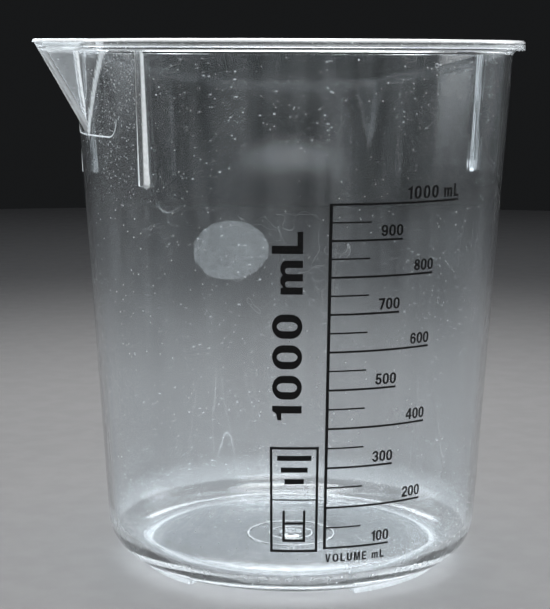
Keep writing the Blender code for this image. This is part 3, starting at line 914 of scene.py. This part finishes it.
def make_witness_line(mat):
    path = witness_path()
    for name, side in (("right", 1), ("left", -1)):
        bm = bmesh.new()
        matt = bm.verts.layers.float.new("frost")
        rings = []
        for step in range(len(path)):
            rings.append([bm.verts.new(point) for point in witness_ring(path, step, side)])
        for vert in bm.verts:
            vert[matt] = WITNESS_FROST
        for first, second in zip(rings, rings[1:]):
            for corner in range(WITNESS_CORNERS):
                after = (corner + 1) % WITNESS_CORNERS
                bm.faces.new((first[corner], first[after], second[after], second[corner]))
        bm.faces.new(rings[0])
        bm.faces.new(rings[-1])
        bmesh.ops.recalc_face_normals(bm, faces=bm.faces)
        piece = add_piece(f"spout_witness_line_{name}", bm, mat)
        piece.data.shade_smooth()


# ---------------------------------------------------------------- materials

class Nodes:
    """A material's node tree, with short ways to add the nodes used here."""

    def __init__(self, name):
        self.material = bpy.data.materials.new(name)
        self.material.use_nodes = True
        self.tree = self.material.node_tree
        self.shader = self.tree.nodes["Principled BSDF"]
        self.output = self.tree.nodes["Material Output"]
        self.place = self.add("ShaderNodeTexCoord").outputs["Object"]

    def add(self, kind, **settings):
        node = self.tree.nodes.new(kind)
        for name, value in settings.items():
            setattr(node, name, value)
        return node

    def link(self, output, target):
        self.tree.links.new(output, target)

    def fill(self, node, **values):
        """Sets or links a node's inputs, whose names are given with _ for a space."""
        for name, value in values.items():
            target = node.inputs[name.replace("_", " ")]
            if isinstance(value, bpy.types.NodeSocket):
                self.link(value, target)
            else:
                target.default_value = value
        return node

    def stretched(self, scale):
        node = self.add("ShaderNodeMapping")
        return self.fill(node, Vector=self.place, Scale=scale).outputs["Vector"]

    def noise(self, scale, detail=2.0, roughness=0.5, distortion=0.0, stretch=(1, 1, 1)):
        node = self.add("ShaderNodeTexNoise")
        self.fill(node, Vector=self.stretched(stretch), Scale=scale, Detail=detail)
        return self.fill(node, Roughness=roughness, Distortion=distortion).outputs["Fac"]

    def ramp(self, value, low, high, start=0.0, end=1.0):
        """Maps value from low..high to start..end, with smooth ends."""
        node = self.add("ShaderNodeMapRange", interpolation_type="SMOOTHSTEP")
        self.fill(node, Value=value, From_Min=low, From_Max=high, To_Min=start, To_Max=end)
        return node.outputs["Result"]

    def math(self, operation, first, second=0.0):
        node = self.add("ShaderNodeMath", operation=operation)
        for target, value in zip(node.inputs, (first, second)):
            if isinstance(value, bpy.types.NodeSocket):
                self.link(value, target)
            else:
                target.default_value = value
        return node.outputs["Value"]

    def bump(self, height, strength, distance):
        node = self.add("ShaderNodeBump")
        self.fill(node, Height=height, Strength=strength, Distance=distance)
        self.link(node.outputs["Normal"], self.shader.inputs["Normal"])

    def specks(self, scale, size, share):
        """Small round spots: this many cells to a metre, a spot's radius as a share of a cell, and the share
        of cells that have one."""
        node = self.add("ShaderNodeTexVoronoi")
        self.fill(node, Vector=self.place, Scale=scale)
        spot = self.ramp(node.outputs["Distance"], size, size * 0.75)
        chosen = self.math("LESS_THAN", self.channel(node.outputs["Color"], "Red"), share)
        return self.math("MULTIPLY", spot, chosen)

    def near(self, point, stretch, close, far):
        """1 within the distance close of a point and 0 beyond far, with distances stretched along the axes."""
        apart = self.add("ShaderNodeVectorMath", operation="SUBTRACT")
        self.link(self.place, apart.inputs[0])
        apart.inputs[1].default_value = point
        scaled = self.add("ShaderNodeVectorMath", operation="MULTIPLY")
        self.link(apart.outputs["Vector"], scaled.inputs[0])
        scaled.inputs[1].default_value = stretch
        distance = self.add("ShaderNodeVectorMath", operation="LENGTH")
        self.link(scaled.outputs["Vector"], distance.inputs[0])
        return self.ramp(distance.outputs["Value"], far, close)

    def channel(self, colour, name):
        node = self.add("ShaderNodeSeparateColor")
        self.link(colour, node.inputs["Color"])
        return node.outputs[name]

    def contour(self, scale, width, stretch, detail=1.0):
        """Thin wandering lines, where a noise passes its middle value."""
        value = self.noise(scale, detail=detail, stretch=stretch)
        apart = self.math("ABSOLUTE", self.math("SUBTRACT", value, 0.5))
        return self.ramp(apart, width, 0.0)


def flow_marks(nodes, streaks, clouds):
    """How much the walls' own haze, its upright flow streaks and its fine scratches scatter."""
    streaky = nodes.ramp(streaks, 0.35, 0.70, 0.004, 0.022)
    haze = nodes.math("ADD", streaky, nodes.ramp(clouds, 0.4, 0.7, 0.002, 0.014))
    worn = nodes.ramp(nodes.noise(22, detail=2), 0.52, 0.66)
    upright = nodes.contour(60, 0.0024, (1, 1, 0.12))
    curled = nodes.contour(70, 0.0016, (1, 1, 0.8), detail=2)
    lines = nodes.math("MULTIPLY", nodes.math("MAXIMUM", upright, curled), worn)
    return nodes.math("ADD", haze, nodes.math("MULTIPLY", lines, 0.30)), lines


def dust_specks(nodes):
    """How much the dust scatters: thinly spread specks, and finer ones close together beside the spout."""
    dusty = nodes.ramp(nodes.noise(30, detail=1), 0.35, 0.65, 0.25, 1.0)
    dust = nodes.math("MULTIPLY", nodes.specks(460, 0.095, 0.8), dusty)
    speckled = nodes.near(around(DUSTY_TURN, OUTER_TOP, DUSTY_HEIGHT), (1, 1, 0.45), 0.006, 0.017)
    grit = nodes.math("MULTIPLY", nodes.specks(850, 0.17, 0.7), speckled)
    return nodes.math("ADD", nodes.math("MULTIPLY", dust, 0.9), nodes.math("MULTIPLY", grit, 0.9))


def matt_places(nodes):
    """How much the moulding's matt edges scatter, from the frost that its mesh carries."""
    matt = nodes.add("ShaderNodeAttribute", attribute_name="frost").outputs["Fac"]
    uneven = nodes.ramp(nodes.noise(900, detail=2), 0.3, 0.7, 0.85, 1.0)
    return nodes.math("MULTIPLY", nodes.math("MULTIPLY", matt, uneven), 0.95)


def clear_plastic():
    """Clear moulded plastic with a faint haze, dust and matt edges. Its shadow is that of a clear sheet."""
    nodes = Nodes("clear_plastic")
    shader = nodes.shader
    shader.inputs["Base Color"].default_value = (0.90, 0.93, 0.95, 1)
    shader.inputs["IOR"].default_value = 1.463
    streaks = nodes.noise(210, detail=3, roughness=0.6, stretch=(1, 1, 0.06))
    clouds = nodes.noise(28, detail=3, roughness=0.55)
    haze, lines = flow_marks(nodes, streaks, clouds)
    haze = nodes.math("ADD", haze, dust_specks(nodes))
    haze = nodes.math("ADD", haze, matt_places(nodes))
    clearness = nodes.add("ShaderNodeMath", operation="SUBTRACT", use_clamp=True)
    clearness.inputs[0].default_value = 1.0
    nodes.link(haze, clearness.inputs[1])
    nodes.link(clearness.outputs["Value"], shader.inputs["Transmission Weight"])
    nodes.link(nodes.ramp(clouds, 0.3, 0.8, 0.03, 0.07), shader.inputs["Roughness"])
    nodes.bump(nodes.math("ADD", streaks, nodes.math("MULTIPLY", lines, 0.4)), 0.25, 0.00012)
    clear = nodes.add("ShaderNodeBsdfTransparent")
    clear.inputs["Color"].default_value = (0.88, 0.90, 0.91, 1)
    mix = nodes.add("ShaderNodeMixShader")
    nodes.link(nodes.add("ShaderNodeLightPath").outputs["Is Shadow Ray"], mix.inputs["Fac"])
    nodes.link(shader.outputs["BSDF"], mix.inputs[1])
    nodes.link(clear.outputs["BSDF"], mix.inputs[2])
    nodes.link(mix.outputs["Shader"], nodes.output.inputs["Surface"])
    return nodes.material


def black_ink():
    """Screen-printed black ink, satin, a little uneven."""
    nodes = Nodes("black_ink")
    grain = nodes.noise(1800, detail=3)
    colour = nodes.add("ShaderNodeMix", data_type="RGBA")
    nodes.link(nodes.ramp(grain, 0.4, 0.75), colour.inputs["Factor"])
    nodes.shader.inputs["Specular IOR Level"].default_value = 0.3
    colour.inputs["A"].default_value = (0.003, 0.003, 0.0035, 1)
    colour.inputs["B"].default_value = (0.012, 0.012, 0.013, 1)
    nodes.link(colour.outputs["Result"], nodes.shader.inputs["Base Color"])
    nodes.link(nodes.ramp(grain, 0.3, 0.7, 0.38, 0.55), nodes.shader.inputs["Roughness"])
    nodes.bump(grain, 0.3, 0.00002)
    return nodes.material


def matt_patch():
    """A finely mottled, half see-through matt area to write on."""
    nodes = Nodes("matt_patch")
    mottle = nodes.noise(900, detail=4, roughness=0.6)
    fine = nodes.noise(2600, detail=2)
    nodes.shader.inputs["Base Color"].default_value = (0.78, 0.79, 0.79, 1)
    nodes.link(nodes.ramp(fine, 0.3, 0.7, 0.8, 0.95), nodes.shader.inputs["Roughness"])
    nodes.link(nodes.ramp(mottle, 0.35, 0.65, 0.07, 0.14), nodes.shader.inputs["Alpha"])
    nodes.bump(fine, 0.4, 0.00005)
    return nodes.material


# ---------------------------------------------------------------- surroundings

def make_camera():
    data = bpy.data.cameras.new("camera")
    data.lens = CAMERA_LENS
    data.sensor_width = SENSOR
    data.clip_start = 0.01
    camera = bpy.data.objects.new("camera", data)
    bpy.context.scene.collection.objects.link(camera)
    turn = Matrix.Translation((AXIS_X, 0, 0)) @ Matrix.Rotation(CAMERA_TURN, 4, "Z")
    place = turn @ Matrix.Translation((CAMERA_SIDE, -CAMERA_DISTANCE, CAMERA_HEIGHT))
    aim = Matrix.Rotation(math.pi / 2 - CAMERA_PITCH, 4, "X") @ Matrix.Rotation(CAMERA_ROLL, 4, "Z")
    camera.matrix_world = place @ aim
    bpy.context.scene.camera = camera


def make_floor():
    """A round table top with a painted pool of light: palest under the beaker, with painted shade darker away
    from it.
    """
    bm = bmesh.new()
    bmesh.ops.create_circle(bm, cap_ends=True, segments=FLOOR_SIDES, radius=FLOOR_RADIUS)
    mesh = bpy.data.meshes.new("floor")
    bm.to_mesh(mesh)
    bm.free()
    nodes = Nodes("floor_painted_light_pool")
    distance = nodes.add("ShaderNodeVectorMath", operation="LENGTH")
    nodes.link(nodes.place, distance.inputs[0])
    colour = nodes.add("ShaderNodeMix", data_type="RGBA")
    # Painted light: the colour fades from the painted pool of light near the beaker to painted shade far from
    # it.
    fade = nodes.ramp(distance.outputs["Value"], FLOOR_PAINTED_LIGHT_TO, FLOOR_PAINTED_SHADE_FROM)
    nodes.link(fade, colour.inputs["Factor"])
    colour.inputs["A"].default_value = FLOOR_PAINTED_LIGHT_COLOUR
    colour.inputs["B"].default_value = FLOOR_PAINTED_SHADE_COLOUR
    nodes.link(colour.outputs["Result"], nodes.shader.inputs["Base Color"])
    nodes.link(nodes.ramp(nodes.noise(90, detail=3), 0.3, 0.7, 0.6, 0.7), nodes.shader.inputs["Roughness"])
    nodes.shader.inputs["Specular IOR Level"].default_value = 0.2
    mesh.materials.append(nodes.material)
    floor = bpy.data.objects.new("floor", mesh)
    floor.location = (AXIS_X, 0, -FLOOR_CLEARANCE)
    bpy.context.scene.collection.objects.link(floor)


def soften(data, edge):
    """Fades a panel's light out towards its edges, over this share of its half width and half height."""
    data.use_nodes = True
    tree = data.node_tree
    emission = tree.nodes["Emission"]
    place = tree.nodes.new("ShaderNodeNewGeometry")
    split = tree.nodes.new("ShaderNodeSeparateXYZ")
    tree.links.new(place.outputs["Parametric"], split.inputs["Vector"])
    shares = []
    for axis in ("X", "Y"):
        centred = tree.nodes.new("ShaderNodeMath")
        centred.operation = "SUBTRACT"
        tree.links.new(split.outputs[axis], centred.inputs[0])
        centred.inputs[1].default_value = 0.5
        apart = tree.nodes.new("ShaderNodeMath")
        apart.operation = "ABSOLUTE"
        tree.links.new(centred.outputs["Value"], apart.inputs[0])
        fade = tree.nodes.new("ShaderNodeMapRange")
        fade.interpolation_type = "SMOOTHSTEP"
        tree.links.new(apart.outputs["Value"], fade.inputs["Value"])
        fade.inputs["From Min"].default_value = 0.5
        fade.inputs["From Max"].default_value = 0.5 * (1 - edge)
        shares.append(fade.outputs["Result"])
    both = tree.nodes.new("ShaderNodeMath")
    both.operation = "MULTIPLY"
    tree.links.new(shares[0], both.inputs[0])
    tree.links.new(shares[1], both.inputs[1])
    tree.links.new(both.outputs["Value"], emission.inputs["Strength"])


def add_light(name, turn, rise, distance, size, radiance, edge=0.6):
    """A soft panel that faces the beaker. turn is its direction round the beaker from the camera's, to the
    right, rise its elevation, both in degrees, and radiance how bright its face is."""
    data = bpy.data.lights.new(name, "AREA")
    data.shape = "RECTANGLE"
    data.size, data.size_y = size
    data.energy = radiance * math.pi * size[0] * size[1]
    soften(data, edge)
    light = bpy.data.objects.new(name, data)
    bpy.context.scene.collection.objects.link(light)
    direction = CAMERA_TURN - math.pi / 2 + math.radians(turn)
    rise = math.radians(rise)
    level = math.cos(rise)
    aim = Vector((AXIS_X, 0, AIM_HEIGHT))
    away = Vector((math.cos(direction) * level, math.sin(direction) * level, math.sin(rise)))
    light.location = aim + away * distance
    light.rotation_euler = (-away).to_track_quat("-Z", "Y").to_euler()


def make_lights():
    world = bpy.data.worlds.new("studio")
    world.use_nodes = True
    world.node_tree.nodes["Background"].inputs["Color"].default_value = WORLD_COLOUR
    world.node_tree.nodes["Background"].inputs["Strength"].default_value = WORLD_STRENGTH
    bpy.context.scene.world = world
    add_light("overhead", 180, 62, 0.9, (1.2, 0.22), 8)
    add_light("top", 0, 89, 0.9, (0.7, 0.22), 50)
    add_light("front", 0, 5.4, 1.3, (2.2, 0.055), 3, edge=1.0)
    add_light("left", -112, 22, 0.8, (0.60, 0.60), 4)
    add_light("right", 118, 24, 0.8, (0.50, 0.60), 4)
    add_light("back", 180, 30, 1.0, (0.5, 0.3), 12)
    add_light("front_top", 20, 52, 0.9, (0.9, 0.45), 8)


bpy.context.scene.view_settings.view_transform = "Standard"
make_camera()
make_floor()
make_lights()
plastic = clear_plastic()
make_body(plastic)
make_witness_line(plastic)
black = black_ink()
make_scale(black)
make_numerals(black)
make_capacity_mark(black)
make_legend(black)
make_panel(black)
make_write_on_patch()
